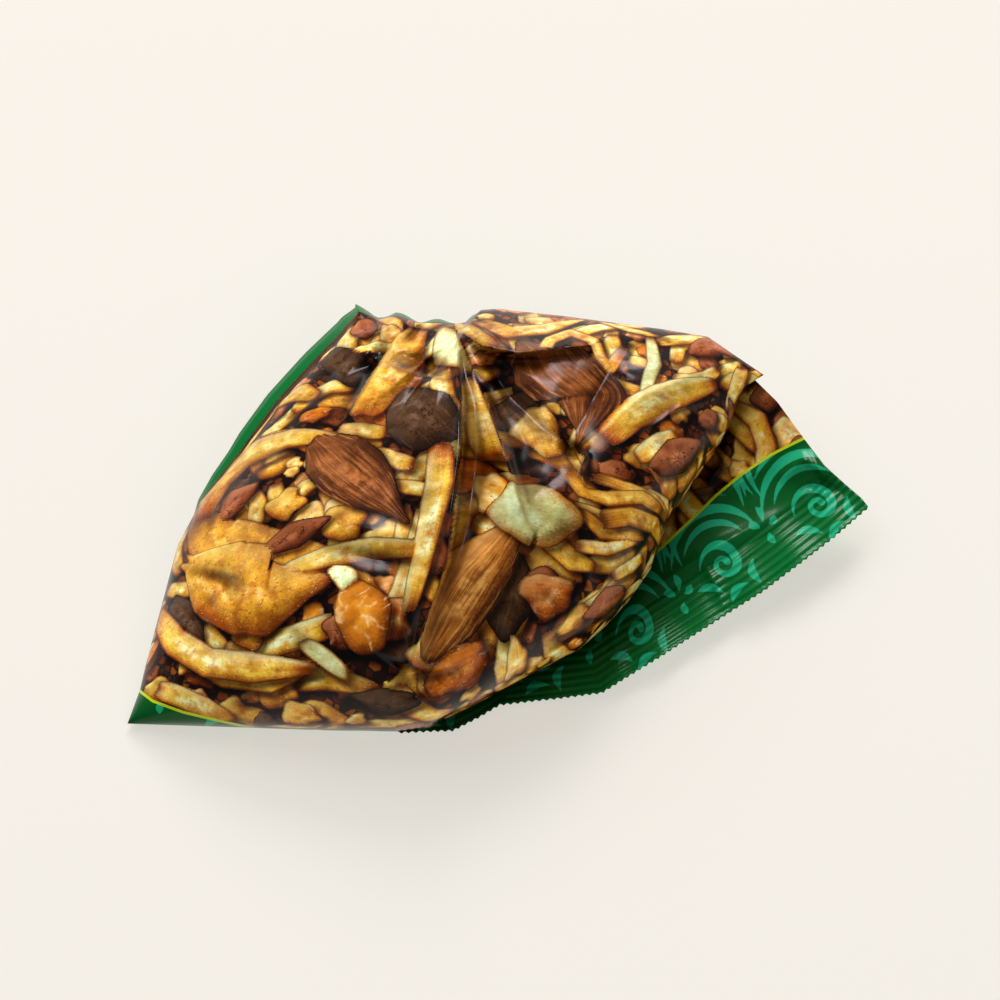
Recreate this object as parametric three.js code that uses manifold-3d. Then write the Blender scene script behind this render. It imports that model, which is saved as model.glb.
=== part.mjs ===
// A printed film pouch of bombay mix, lying on its back with its neck folded under it. All sizes are in
// millimetres. +Z is up, the pouch lies on z = 0, and +Y points away from its bottom seal.
//
// The pouch is drawn on a plane that slopes up from the table by DRAWING_SLOPE. Each point of an outline or a
// crease is [across the plane, up the plane], and some also have a height above the table. lift() puts such a
// point in its place.
import * as THREE from "three";
import { mergeVertices } from "three/addons/utils/BufferGeometryUtils.js";
import Module from "manifold-3d";

const { lerp, clamp, degToRad } = THREE.MathUtils;

const DRAWING_SLOPE = degToRad(55);
const PRINT_COLOR = "#a35f22";

// The front panel: a skin held down along its edge and pushed out by the mix inside
const PANEL_CELLS_ACROSS = 72;
const PANEL_CELLS_UP = 44;
const SNAP_REACH = 0.75; // a grid point within this share of a cell of a crease may move onto it
const STEEP_SIDE = 1.25; // a side of a crease within this many cells is one cell wide
const FILL_RISE = 33; // the mix lifts the middle this far above the edge
const FILL_ROUNDNESS_ACROSS = 0.55; // below 1 it rises steeply from the edge and is flat in the middle
const FILL_ROUNDNESS_UP = 0.62;
const FILL_TOWARDS_FRONT = 0.8; // below 1 the mix has slid towards the bottom seal
const FILL_THINNING = 0.18; // the fill is this much thinner at the neck
const PANEL_LENGTH = 108; // up the drawing plane, from the bottom to the neck
const EDGE_HEIGHTS = [1.5, 4.5, 7.5, 11.5, 16.5, 21, 25.5]; // of the panel's edge, evenly spaced up the panel

const BOTTOM_EDGE = [
  [-95, 2], [-65, 1], [-44, 0.3], [-26, 0], [-18, 1], [-5, 7.5], [12, 16.5], [20, 20.5], [27, 26.5], [33, 33],
];
const NECK_EDGE = [
  [-36.5, 107.5], [-31.5, 106], [-27, 107], [-21, 105], [-9, 105], [-5, 108.5], [-1, 108.8], [16, 107],
  [42, 103.5], [54, 101.5], [60.5, 97], [68.5, 91.5],
];
const LEFT_EDGE = [
  [-95, 2], [-92, 10.5], [-90.5, 17.5], [-83, 47.5], [-77, 59], [-67, 70.5], [-57, 84], [-47, 95],
  [-40.5, 102], [-36.5, 107.5],
];
const RIGHT_EDGE = [
  [33, 33], [39, 41.5], [43, 53], [46.5, 58.5], [56, 72], [59.5, 78.5], [62, 85.5], [64.5, 89], [68.5, 91.5],
];

// The creases of the front. Each one lifts the film by rise (down where it is negative), most on its own line
// and less beside it, out to the distances given for the right and the left of the way it runs. A list of
// numbers is spaced evenly along the crease.
const CREASES = {
  leftPleat: { path: [[-11.5, 103], [-10, 85], [-10, 72], [-13.5, 43.5], [-23, 16.5]],
    rise: [0, 4.5, 6, 6, 0], right: [12, 15, 15.5, 15, 6.5], left: [1.4, 1.5, 1.7, 2.2, 2.4] },
  tonguePleat: { path: [[-9, 97.5], [-3, 82.5], [5.5, 57.5], [9, 48.5]],
    rise: [0, 4.5, 4, 0], right: [2, 9, 10.5, 8], left: [1.8, 2.4, 4.5, 8] },
  neckPleat: { path: [[-13, 105], [-9, 99], [-1.5, 85]],
    rise: [1, 2, 0], right: 2, left: 3 },
  overhang: { path: [[-12.5, 105.5], [-4.5, 98.5], [4.5, 96.5], [19.5, 98.5], [29, 100.5]],
    rise: [0, 6, 6.5, 4, 0], right: [2.4, 2.4, 2.4, 4, 8], left: [6, 12, 13, 11.5, 10.5] },
  recess: { path: [[-4.5, 95.5], [2.5, 85], [17, 72]],
    rise: [0, -6, -2], right: 11.5, left: 11.5 },
  backHollow: { path: [[17, 72], [24, 85], [31.5, 98]],
    rise: [-1, -4.5, 0], right: 13, left: 11.5 },
  shoulder: { path: [[24.5, 76.5], [36.5, 86], [49.5, 91.5], [58.5, 93.5]],
    rise: [0, 4, 3.5, 0], right: 9, left: 8 },
  lowerShoulder: { path: [[34.5, 74.5], [47, 83], [57.5, 86]],
    rise: [0, 2.5, 0], right: 5.5, left: 5 },
  pinch: { path: [[14.5, 73.5], [18.5, 72], [22, 70]],
    rise: [0, -5, 0], right: 3.6, left: 3.6 },
  pinchLip: { path: [[17, 73.5], [21.5, 70], [20, 65.5], [24, 58]],
    rise: [0, 3, 2, 0], right: [2, 2.6, 5, 7], left: [1.5, 2, 3.5, 4.5] },
  dentValley: { path: [[-83, 41], [-71.5, 39], [-62, 37]],
    rise: [0, -3.5, 0], right: 11.5, left: 5.5 },
  dentRidge: { path: [[-64, 41.5], [-62, 33], [-62.5, 20.5]],
    rise: [0, 3, 0], right: 14, left: 8 },
  spike: { path: [[-18.5, 35.5], [-21, 24], [-23, 15]],
    rise: [0, 3, 2.5], right: 4.7, left: 4.7 },
  spikeValley: { path: [[-36.5, 22.5], [-23, 14.5], [-15.5, 15], [-5, 18.5]],
    rise: [0, -4, -3, 0], right: 9, left: 3.6 },
  lowerValley: { path: [[2, 29], [-5, 17.5], [-12.5, 7]],
    rise: [0, -3, 0], right: 7, left: 7 },
  middleRidge: { path: [[-49.5, 54.5], [-32.5, 51], [-18, 49.5]],
    rise: [0, 2.2, 0], right: 4.7, left: 6 },
  middleValley: { path: [[-47, 47.5], [-31, 44.5], [-20, 42.5]],
    rise: [0, -2.2, 0], right: 6, left: 3.6 },
  neckLip: { path: [[-30, 95], [-26.5, 92.5], [-18, 90.5], [-11.5, 89]],
    rise: [2, 3, 3, 0], right: [15, 15, 15, 8], left: 2.4 },
  neckHollow: { path: [[-28, 98], [-21.5, 95], [-14, 93]],
    rise: [0, -3, 0], right: 4, left: 3.6 },
  panelRidge: { path: [[-27, 101], [-34, 89.5], [-41.5, 76.5]],
    rise: [1, 3.2, 0], right: [1.6, 2, 3.5], left: 10.5 },
  neckRoll: { path: [[-44, 96], [-34.5, 102], [-24, 106]],
    rise: [0, 3, 1], right: 4.7, left: 4.7 },
  neckValley: { path: [[-41.5, 90], [-33, 94], [-27, 100.5]],
    rise: [0, -3.5, 0], right: 5, left: 5 },
  gather: { path: [[-27, 99], [-23, 101.5], [-20, 106]],
    rise: [0, -4, -2], right: 3, left: 3 },
};

// The back of the pouch: rows of film that leave the front's edge, turn under it and end on the flat spot it
// lies on. Each row has a share of the edge's height and of the way under.
const BACK_ROWS = [
  { height: 0.85, under: 0 },
  { height: 0.5, under: 0.2 },
  { height: 0.18, under: 0.55 },
  { height: 0, under: 1 },
];
const BACK_CENTRE = [-12, 52]; // the rows close in on this point
const UNDERCUT = 0.05; // how far under the last row goes, as a share of the way to the centre,
const UNDERCUT_PER_HEIGHT = 0.012; // and what each millimetre of the edge's height adds
// The plain back rolls out past the print along the upper left: how far, evenly spaced between two places,
// which are counted in lengths of the left edge and run on past its end along the neck
const SIDE_ROLL = [0, 3.2, 4.6, 4.6, 4.8, 4.4, 0];
const SIDE_ROLL_START = 0.45;
const SIDE_ROLL_END = 1.06;

// The flattened bottom end, which comes out from under the front at the lower right
const SKIRT_CELLS_ALONG = 34;
const SKIRT_LOOSE_ROWS = 7;
const SKIRT_THICKNESS = 0.9;
const CRIMP_RIDGES = 6;
const CRIMP_PITCH = 2.2;
const CRIMP_RISE = 0.35;
const CRIMP_ROWS = 2 * CRIMP_RIDGES;
const SKIRT_ROWS = CRIMP_ROWS + SKIRT_LOOSE_ROWS;
// Its edges: across, up, height
const SEAL_CUT = [
  [-26, -0.5, 1], [-12, 0, 1], [-5, 3.5, 1.2], [0, 6.5, 1.3], [14, 8, 1.8], [26, 9.5, 2.5], [41.5, 19, 4.5], [68, 35.5, 6.5],
  [86, 49, 8.5], [95.5, 57, 10],
];
const SKIRT_SIDE = [
  [95.5, 57, 10], [93.5, 59.5, 10.5], [89.5, 63, 11], [84, 68, 12], [78.8, 75, 13.5], [72, 84.5, 15.5], [67, 90, 16.5],
];
const SKIRT_ROOT = [
  [-26, 12, 1.3], [-5, 18, 1.4], [10, 25, 1.5], [22, 31, 2], [31, 42, 3.5], [37, 53, 5], [44, 63, 7],
  [52, 74, 10], [58, 83, 13], [67, 90, 16.5],
];
const SKIRT_END = [[-26, -0.5, 1], [-26, 12, 1.3]];

// A point of the drawing plane in its place
function lift([across, up, height]) {
  return new THREE.Vector3(across, up / Math.sin(DRAWING_SLOPE) - height / Math.tan(DRAWING_SLOPE), height);
}

// The value at t, from 0 to 1, of numbers that are evenly spaced along it
function along(values, t) {
  if (!Array.isArray(values)) return values;
  const place = clamp(t, 0, 1) * (values.length - 1);
  const i = Math.min(Math.floor(place), values.length - 2);
  return lerp(values[i], values[i + 1], place - i);
}

// How high the edge of the front lies above the table
function edgeHeight(up) {
  return along(EDGE_HEIGHTS, up / PANEL_LENGTH);
}

// A line through points of the drawing plane, which lie at the front's edge where they have no height
function polyline(points) {
  const places = points.map(([across, up, height = edgeHeight(up)]) => new THREE.Vector3(across, up, height));
  const path = new THREE.CurvePath();
  for (let i = 1; i < places.length; i++) path.add(new THREE.LineCurve3(places[i - 1], places[i]));
  return path;
}

// The point at s across and t up a patch that four lines bound: front and back run across, left and right up
function inPatch({ front, back, left, right }, s, t) {
  const acrossWay = front.getPointAt(s).lerp(back.getPointAt(s), t);
  const upWay = left.getPointAt(t).lerp(right.getPointAt(t), s);
  const corners = front.getPointAt(0).lerp(front.getPointAt(1), s);
  corners.lerp(back.getPointAt(0).lerp(back.getPointAt(1), s), t);
  return acrossWay.add(upWay).sub(corners);
}

// How near a point is to a crease: the distance, the side it lies on, and how far along the crease that is
function nearestOn(path, across, up) {
  let best = { distance: Infinity, left: false, t: 0 };
  for (let i = 1; i < path.length; i++) {
    const [[ax, ay], [bx, by]] = [path[i - 1], path[i]];
    const [dx, dy] = [bx - ax, by - ay];
    const t = clamp(((across - ax) * dx + (up - ay) * dy) / (dx * dx + dy * dy), 0, 1);
    const [gapX, gapY] = [across - ax - t * dx, up - ay - t * dy];
    const distance = Math.hypot(gapX, gapY);
    if (distance < best.distance) {
      const at = [ax + t * dx, ay + t * dy];
      best = { distance, at, left: dx * gapY - dy * gapX > 0, t: (i - 1 + t) / (path.length - 1) };
    }
  }
  return best;
}

// How far a crease reaches at its place nearest to a point
function reachBy(crease, near) {
  return along(near.left ? crease.left : crease.right, near.t);
}

// Moves a grid point beside a crease to where a steep side of it ends
function moveToFoot(point, name, spacing) {
  if (!point || point.line) return;
  const crease = CREASES[name];
  const near = nearestOn(crease.path, point.x, point.y);
  const reach = reachBy(crease, near);
  if (reach > spacing * STEEP_SIDE || near.distance === 0) return;
  point.x = lerp(near.at[0], point.x, reach / near.distance);
  point.y = lerp(near.at[1], point.y, reach / near.distance);
  point.line = `foot of ${name}`;
}

// Moves the nearest grid points onto each crease, so that it stays sharp: one in each row for a crease that
// runs up the front, one in each column for a crease that runs across it
function snapToCreases(rows) {
  const inner = rows.slice(1, -1).map((row) => row.slice(1, -1));
  const columns = inner[0].map((_, i) => inner.map((row) => row[i]));
  for (const [name, { path }] of Object.entries(CREASES)) {
    const [first, last] = [path[0], path.at(-1)];
    const runsUp = Math.abs(last[1] - first[1]) > Math.abs(last[0] - first[0]);
    for (const line of runsUp ? inner : columns) {
      const nears = line.map((point) => nearestOn(path, point.x, point.y));
      const distances = nears.map((near) => near.distance);
      const k = distances.indexOf(Math.min(...distances));
      const spacing = line[k].distanceTo(line[k ? k - 1 : 1]);
      const { at, t, distance } = nears[k];
      if (distance > spacing * SNAP_REACH || t === 0 || t === 1 || line[k].line) continue;
      [line[k].x, line[k].y] = at;
      line[k].line = name;
      for (const beside of [line[k - 1], line[k + 1]]) moveToFoot(beside, name, spacing);
    }
  }
}

// How far the creases lift the film at a point of the front
function creaseRise(across, up) {
  let rise = 0;
  for (const crease of Object.values(CREASES)) {
    const near = nearestOn(crease.path, across, up);
    const reach = reachBy(crease, near);
    rise += along(crease.rise, near.t) * Math.max(0, 1 - near.distance / reach) ** 2;
  }
  return rise;
}

// How far the mix lifts the front at s across and t up it
function fillRise(s, t) {
  const acrossShape = Math.sin(Math.PI * s) ** FILL_ROUNDNESS_ACROSS;
  const upShape = Math.sin(Math.PI * t ** FILL_TOWARDS_FRONT) ** FILL_ROUNDNESS_UP;
  return FILL_RISE * acrossShape * upShape * (1 - FILL_THINNING * t);
}

// The front's points, row by row, still on the drawing plane
function frontRows() {
  const edges = {
    front: polyline(BOTTOM_EDGE),
    back: polyline(NECK_EDGE),
    left: polyline(LEFT_EDGE),
    right: polyline(RIGHT_EDGE),
  };
  const rows = Array.from({ length: PANEL_CELLS_UP + 1 }, (_, j) =>
    Array.from({ length: PANEL_CELLS_ACROSS + 1 }, (_, i) =>
      inPatch(edges, i / PANEL_CELLS_ACROSS, j / PANEL_CELLS_UP),
    ),
  );
  snapToCreases(rows);
  for (let j = 1; j < PANEL_CELLS_UP; j++) {
    for (let i = 1; i < PANEL_CELLS_ACROSS; i++) {
      const point = rows[j][i];
      point.z += fillRise(i / PANEL_CELLS_ACROSS, j / PANEL_CELLS_UP) + creaseRise(point.x, point.y);
    }
  }
  return rows;
}

// The places around a grid's edge, counter-clockwise from its lower left corner. upLeft counts from there up
// the left edge, which is 1 long, and on along the back one.
function rimPlaces(cellsAcross, cellsUp) {
  const [m, n] = [cellsAcross, cellsUp];
  const places = [];
  for (let i = 0; i < m; i++) places.push({ i, j: 0, upLeft: 0 });
  for (let j = 0; j < n; j++) places.push({ i: m, j, upLeft: 0 });
  for (let i = m; i > 0; i--) places.push({ i, j: n, upLeft: 1 + i / n });
  for (let j = n; j > 0; j--) places.push({ i: 0, j, upLeft: j / n });
  return places;
}

// A point of a back row below a point of the front's edge
function underRim(rim, upLeft, row) {
  const undercut = row.under * (UNDERCUT + UNDERCUT_PER_HEIGHT * rim.z);
  const way = new THREE.Vector2(rim.x - BACK_CENTRE[0], rim.y - BACK_CENTRE[1]);
  const roll = along(SIDE_ROLL, (upLeft - SIDE_ROLL_START) / (SIDE_ROLL_END - SIDE_ROLL_START)) * row.height;
  way.multiplyScalar(1 - undercut + roll / way.length());
  return lift([BACK_CENTRE[0] + way.x, BACK_CENTRE[1] + way.y, rim.z * row.height]);
}

// One closed mesh from a list of points and a list of triangles
function closedMesh(points, triangles) {
  const geometry = new THREE.BufferGeometry().setFromPoints(points);
  geometry.setIndex(triangles.flat());
  return mergeVertices(geometry, 1e-4);
}

// The filled part of the pouch
function body() {
  const rows = frontRows();
  const points = [];
  const triangles = [];
  const width = PANEL_CELLS_ACROSS + 1;
  for (const row of rows) for (const point of row) points.push(lift(point.toArray()));
  for (let j = 0; j < PANEL_CELLS_UP; j++) {
    for (let i = 0; i < PANEL_CELLS_ACROSS; i++) {
      const a = j * width + i;
      const lineHere = rows[j][i + 1].line;
      if (lineHere && lineHere === rows[j + 1][i].line) {
        triangles.push([a, a + 1, a + width], [a + 1, a + width + 1, a + width]);
      } else {
        triangles.push([a, a + 1, a + width + 1], [a, a + width + 1, a + width]);
      }
    }
  }
  const rim = rimPlaces(PANEL_CELLS_ACROSS, PANEL_CELLS_UP);
  let upper = rim.map(({ i, j }) => j * width + i);
  for (const row of BACK_ROWS) {
    const start = points.length;
    for (const { i, j, upLeft } of rim) points.push(underRim(rows[j][i], upLeft, row));
    const lower = rim.map((_, k) => start + k);
    for (let k = 0; k < rim.length; k++) {
      const next = (k + 1) % rim.length;
      triangles.push([upper[k], lower[k], upper[next]], [upper[next], lower[k], lower[next]]);
    }
    upper = lower;
  }
  const spot = upper.map((k) => new THREE.Vector2(points[k].x, points[k].y));
  for (const [a, b, c] of THREE.ShapeUtils.triangulateShape(spot, [])) {
    triangles.push([upper[a], upper[c], upper[b]]);
  }
  return closedMesh(points, triangles);
}

// How far row j of the flattened end is from its cut, as a share of its length there. Each crimp ridge takes
// two rows, and the loose film shares out the rest.
function skirtShare(j, length) {
  const crimped = Math.min(CRIMP_PITCH * CRIMP_RIDGES, (length * CRIMP_ROWS) / SKIRT_ROWS) / length;
  return j < CRIMP_ROWS ? (crimped * j) / CRIMP_ROWS : lerp(crimped, 1, (j - CRIMP_ROWS) / SKIRT_LOOSE_ROWS);
}

// The flattened end: two films sealed together, crimped along the cut
function skirt() {
  const edges = {
    front: polyline(SEAL_CUT),
    back: polyline(SKIRT_ROOT),
    left: polyline(SKIRT_END),
    right: polyline(SKIRT_SIDE),
  };
  const upper = [];
  for (let j = 0; j <= SKIRT_ROWS; j++) {
    for (let i = 0; i <= SKIRT_CELLS_ALONG; i++) {
      const s = i / SKIRT_CELLS_ALONG;
      const length = edges.front.getPointAt(s).distanceTo(edges.back.getPointAt(s));
      const place = lift(inPatch(edges, s, skirtShare(j, length)).toArray());
      if (j < CRIMP_ROWS && j % 2 === 1) place.z += CRIMP_RISE;
      upper.push(place);
    }
  }
  const lower = upper.map(({ x, y, z }) => new THREE.Vector3(x, y, Math.max(z - SKIRT_THICKNESS, 0)));
  return sheet([...upper, ...lower], SKIRT_CELLS_ALONG, SKIRT_ROWS);
}

// A closed sheet from an upper and a lower grid of points of the same size
function sheet(points, cellsAcross, cellsUp) {
  const width = cellsAcross + 1;
  const half = width * (cellsUp + 1);
  const triangles = [];
  for (let j = 0; j < cellsUp; j++) {
    for (let i = 0; i < cellsAcross; i++) {
      const a = j * width + i;
      const b = half + a;
      triangles.push([a, a + 1, a + width + 1], [a, a + width + 1, a + width]);
      triangles.push([b, b + width + 1, b + 1], [b, b + width, b + width + 1]);
    }
  }
  const rim = rimPlaces(cellsAcross, cellsUp).map(({ i, j }) => j * width + i);
  for (let k = 0; k < rim.length; k++) {
    const [a, b] = [rim[k], rim[(k + 1) % rim.length]];
    triangles.push([a, half + a, b], [b, half + a, half + b]);
  }
  return closedMesh(points, triangles);
}

// Both joined into one solid
async function join(geometries) {
  const wasm = await Module();
  wasm.setup();
  const solids = geometries.map((geometry) => {
    const vertProperties = new Float32Array(geometry.attributes.position.array);
    const triVerts = new Uint32Array(geometry.index.array);
    return new wasm.Manifold(new wasm.Mesh({ numProp: 3, vertProperties, triVerts }));
  });
  const { vertProperties, triVerts } = solids.reduce((whole, solid) => whole.add(solid)).getMesh();
  const joined = new THREE.BufferGeometry();
  joined.setAttribute("position", new THREE.BufferAttribute(vertProperties, 3));
  joined.setIndex(new THREE.BufferAttribute(triVerts, 1));
  return joined;
}

const geometry = await join([body(), skirt()]);
geometry.computeBoundingBox();
const box = geometry.boundingBox;
geometry.translate(-(box.min.x + box.max.x) / 2, -(box.min.y + box.max.y) / 2, -box.min.z);
geometry.computeVertexNormals();

const bag = new THREE.Mesh(
  geometry,
  new THREE.MeshStandardMaterial({ color: PRINT_COLOR, roughness: 0.3, metalness: 0 }),
);
bag.name = "bag";

const group = new THREE.Group();
group.add(bag);
export default group;
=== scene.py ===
import math

import bpy
import numpy as np
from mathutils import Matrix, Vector


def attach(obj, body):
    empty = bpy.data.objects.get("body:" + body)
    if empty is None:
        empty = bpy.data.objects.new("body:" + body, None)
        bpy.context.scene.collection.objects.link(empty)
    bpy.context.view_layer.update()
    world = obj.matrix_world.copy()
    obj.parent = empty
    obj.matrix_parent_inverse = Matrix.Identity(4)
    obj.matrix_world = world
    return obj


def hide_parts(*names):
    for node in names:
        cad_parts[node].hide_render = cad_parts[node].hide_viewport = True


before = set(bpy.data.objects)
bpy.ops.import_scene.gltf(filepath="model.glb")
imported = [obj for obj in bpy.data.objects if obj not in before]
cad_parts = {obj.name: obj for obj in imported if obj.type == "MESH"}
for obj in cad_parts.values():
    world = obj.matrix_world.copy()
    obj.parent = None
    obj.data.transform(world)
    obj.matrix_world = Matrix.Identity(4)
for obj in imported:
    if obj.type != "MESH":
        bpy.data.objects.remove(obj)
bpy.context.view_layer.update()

# ---- The pouch -------------------------------------------------------------------------------------------
# A pillow pouch of glossy printed film, filled with loose mix and lying on its back. Its neck is gathered and
# folded away behind, so pleats run down the front from there. It is one tube of film, sealed at both ends.
#
# As in the solid, points are [across, up] in millimetres on a plane that slopes up from the table by 55
# degrees, which is how the front is seen, and a height above the table puts each one in its place.

slope = math.radians(55)
panel_length = 108  # of the front, up that plane
edge_heights = [1.5, 4.5, 7.5, 11.5, 16.5, 21, 25.5]  # of the front's edge, from its bottom to its neck

# The front's four edges
bottom_edge = [
    (-95, 2), (-65, 1), (-44, 0.3), (-26, 0), (-18, 1), (-5, 7.5), (12, 16.5), (20, 20.5), (27, 26.5),
    (33, 33),
]
neck_edge = [
    (-36.5, 107.5), (-31.5, 106), (-27, 107), (-21, 105), (-9, 105), (-5, 108.5), (-1, 108.8), (16, 107),
    (42, 103.5), (54, 101.5), (60.5, 97), (68.5, 91.5),
]
left_edge = [
    (-95, 2), (-92, 10.5), (-90.5, 17.5), (-83, 47.5), (-77, 59), (-67, 70.5), (-57, 84), (-47, 95),
    (-40.5, 102), (-36.5, 107.5),
]
right_edge = [
    (33, 33), (39, 41.5), (43, 53), (46.5, 58.5), (56, 72), (59.5, 78.5), (62, 85.5), (64.5, 89),
    (68.5, 91.5),
]

# The solid's left corner, which the first point of the bottom edge is put on
left_corner = min((v.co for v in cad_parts["bag"].data.vertices), key=lambda place: place.x)


def along(values, t):
    """The value at t, from 0 to 1, of numbers that are evenly spaced along it."""
    values = np.atleast_1d(np.asarray(values, float))
    return np.interp(t, np.linspace(0, 1, len(values)), values)


def edge_height(up):
    return along(edge_heights, up / panel_length)


def lift(across, up, height):
    """Points of the drawing plane in their places, in metres."""
    def place(a, u, h):
        return np.stack([a, u / math.sin(slope) - h / math.tan(slope), h], axis=-1)
    first = np.array(bottom_edge[0], float)
    shift = np.array([left_corner.x, left_corner.y, 0]) * 1000 - place(*first, edge_height(first[1]))
    shift[2] = 0
    return (place(across, up, height) + shift) / 1000


def on_line(points, t):
    """The points a share t of the way along a line."""
    points = np.array(points, float)
    lengths = np.r_[0, np.cumsum(np.linalg.norm(np.diff(points, axis=0), axis=1))]
    return np.stack([np.interp(t * lengths[-1], lengths, axis) for axis in points.T], axis=-1)


def in_patch(front, back, left, right, s, t):
    """The points at s across and t up a patch between four lines."""
    corners = [np.array(p, float) for p in (front[0], front[-1], back[0], back[-1])]
    s1, t1 = s[..., None], t[..., None]
    across_way = on_line(front, s) * (1 - t1) + on_line(back, s) * t1
    up_way = on_line(left, t) * (1 - s1) + on_line(right, t) * s1
    low = corners[0] * (1 - s1) + corners[1] * s1
    high = corners[2] * (1 - s1) + corners[3] * s1
    return across_way + up_way - low * (1 - t1) - high * t1


def nearest_on(path, across, up):
    """Each point's distance from a line, whether it is on its left, and how far along the line that is."""
    distance = np.full(across.shape, np.inf)
    left = np.zeros(across.shape, bool)
    t = np.zeros(across.shape)
    for i, ((ax, ay), (bx, by)) in enumerate(zip(path, path[1:])):
        dx, dy = bx - ax, by - ay
        share = np.clip(((across - ax) * dx + (up - ay) * dy) / (dx * dx + dy * dy), 0, 1)
        gap_x, gap_y = across - ax - share * dx, up - ay - share * dy
        here = np.hypot(gap_x, gap_y)
        nearer = here < distance
        distance = np.where(nearer, here, distance)
        left = np.where(nearer, dx * gap_y - dy * gap_x > 0, left)
        t = np.where(nearer, (i + share) / (len(path) - 1), t)
    return distance, left, t


def crease_rise(crease, across, up):
    """How far one crease lifts the film: most on its line, and less out to its reach on either side."""
    path, rise, right, left_reach = crease
    distance, left, t = nearest_on(path, across, up)
    reach = np.where(left, along(left_reach, t), along(right, t))
    return along(rise, t) * np.clip(1 - distance / reach, 0, 1) ** 2


# Each crease: its line, how far it lifts the film along it, and its reach to the right and to the left
creases = {
    "left pleat": ([(-11.5, 103), (-10, 85), (-10, 72), (-13.5, 43.5), (-23, 16.5)],
                   [0, 5, 7, 7, 0], [12, 15, 15.5, 15, 6.5], [1.4, 1.5, 1.7, 2.2, 2.4]),
    "tongue pleat": ([(-9, 97.5), (-3, 82.5), (5.5, 57.5), (9, 48.5)],
                     [0, 4.5, 4, 0], [2, 9, 10.5, 8], [1.8, 2.4, 4.5, 8]),
    "neck pleat": ([(-13, 105), (-9, 99), (-1.5, 85)], [1, 2, 0], 2, 3),
    "overhang": ([(-12.5, 105.5), (-4.5, 98.5), (4.5, 96.5), (19.5, 98.5), (29, 100.5)],
                 [0, 6, 6.5, 4, 0], [2.4, 2.4, 2.4, 4, 8], [6, 12, 13, 11.5, 10.5]),
    "recess": ([(-4.5, 95.5), (2.5, 85), (17, 72)], [0, -6, -2], 11.5, 11.5),
    "back hollow": ([(17, 72), (24, 85), (31.5, 98)], [-1, -4.5, 0], 13, 11.5),
    "shoulder": ([(24.5, 76.5), (36.5, 86), (49.5, 91.5), (58.5, 93.5)], [0, 4, 3.5, 0], 9, 8),
    "lower shoulder": ([(34.5, 74.5), (47, 83), (57.5, 86)], [0, 2.5, 0], 5.5, 5),
    "pinch": ([(14.5, 73.5), (18.5, 72), (22, 70)], [0, -5, 0], 3.6, 3.6),
    "pinch lip": ([(17, 73.5), (21.5, 70), (20, 65.5), (24, 58)], [0, 3, 2, 0], [2, 2.6, 5, 7],
                  [1.5, 2, 3.5, 4.5]),
    "dent valley": ([(-83, 41), (-71.5, 39), (-62, 37)], [0, -3.5, 0], 11.5, 5.5),
    "dent ridge": ([(-64, 41.5), (-62, 33), (-62.5, 20.5)], [0, 3, 0], 14, 8),
    "spike": ([(-18.5, 35.5), (-21, 24), (-23, 15)], [0, 3, 2.5], 4.7, 4.7),
    "spike valley": ([(-36.5, 22.5), (-23, 14.5), (-15.5, 15), (-5, 18.5)], [0, -4, -3, 0], 9, 3.6),
    "lower valley": ([(2, 29), (-5, 17.5), (-12.5, 7)], [0, -3, 0], 7, 7),
    "middle ridge": ([(-49.5, 54.5), (-32.5, 51), (-18, 49.5)], [0, 2.2, 0], 4.7, 6),
    "middle valley": ([(-47, 47.5), (-31, 44.5), (-20, 42.5)], [0, -2.2, 0], 6, 3.6),
    "neck lip": ([(-30, 95), (-26.5, 92.5), (-18, 90.5), (-11.5, 89)], [2, 3, 3, 0], [15, 15, 15, 8], 2.4),
    "neck hollow": ([(-28, 98), (-21.5, 95), (-14, 93)], [0, -3, 0], 4, 3.6),
    "panel ridge": ([(-27, 101), (-34, 89.5), (-41.5, 76.5)], [1, 3.2, 0], [1.6, 2, 3.5], 10.5),
    "neck roll": ([(-44, 96), (-34.5, 102), (-24, 106)], [0, 3, 1], 4.7, 4.7),
    "neck valley": ([(-41.5, 90), (-33, 94), (-27, 100.5)], [0, -3.5, 0], 5, 5),
    "gather": ([(-27, 99), (-23, 101.5), (-20, 106)], [0, -4, -2], 3, 3),
    "crisp facet": ([(-80, 40), (-72, 37), (-67.5, 24)], [0, 2.6, 0], 6, [2, 3, 2]),
    "pleat valley": ([(-8, 99), (-6, 85), (-6, 72), (-8.5, 52), (-13.5, 36)],
                     [0, -3.5, -4.5, -3.5, 0], 3.5, 9),
}
fill_height = 33
side_fullness, end_fullness = 0.55, 0.62  # the lower, the steeper the film rises from its edges
fill_towards_bottom = 0.8  # below 1 the mix has slid towards the bottom seal
lower_at_neck = 0.18  # the share of its rise that the fill has lost at the neck


def fill_rise(s, t):
    """How far the mix lifts the front at s across and t up it."""
    across_shape = np.sin(math.pi * np.clip(s, 0, 1)) ** side_fullness
    up_shape = np.sin(math.pi * np.clip(t, 0, 1) ** fill_towards_bottom) ** end_fullness
    return fill_height * across_shape * up_shape * (1 - lower_at_neck * t)


cells_across, cells_up = 300, 184
back_rows = 12
at_edge = 1e-4  # a share this near to 0 or 1 is on the edge

bpy.ops.object.select_all(action="DESELECT")
bpy.ops.mesh.primitive_grid_add(x_subdivisions=cells_across, y_subdivisions=cells_up, size=1)
pouch = bpy.context.object
pouch.name = "pouch"


def vertex_places(mesh):
    places = np.zeros(len(mesh.vertices) * 3)
    mesh.vertices.foreach_get("co", places)
    return places.reshape(-1, 3)


def set_places(mesh, places):
    mesh.vertices.foreach_set("co", np.asarray(places, float).ravel())
    mesh.update()


snap_reach = 2  # how far apart the two points beside a line may be for one of them to move onto it


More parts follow.
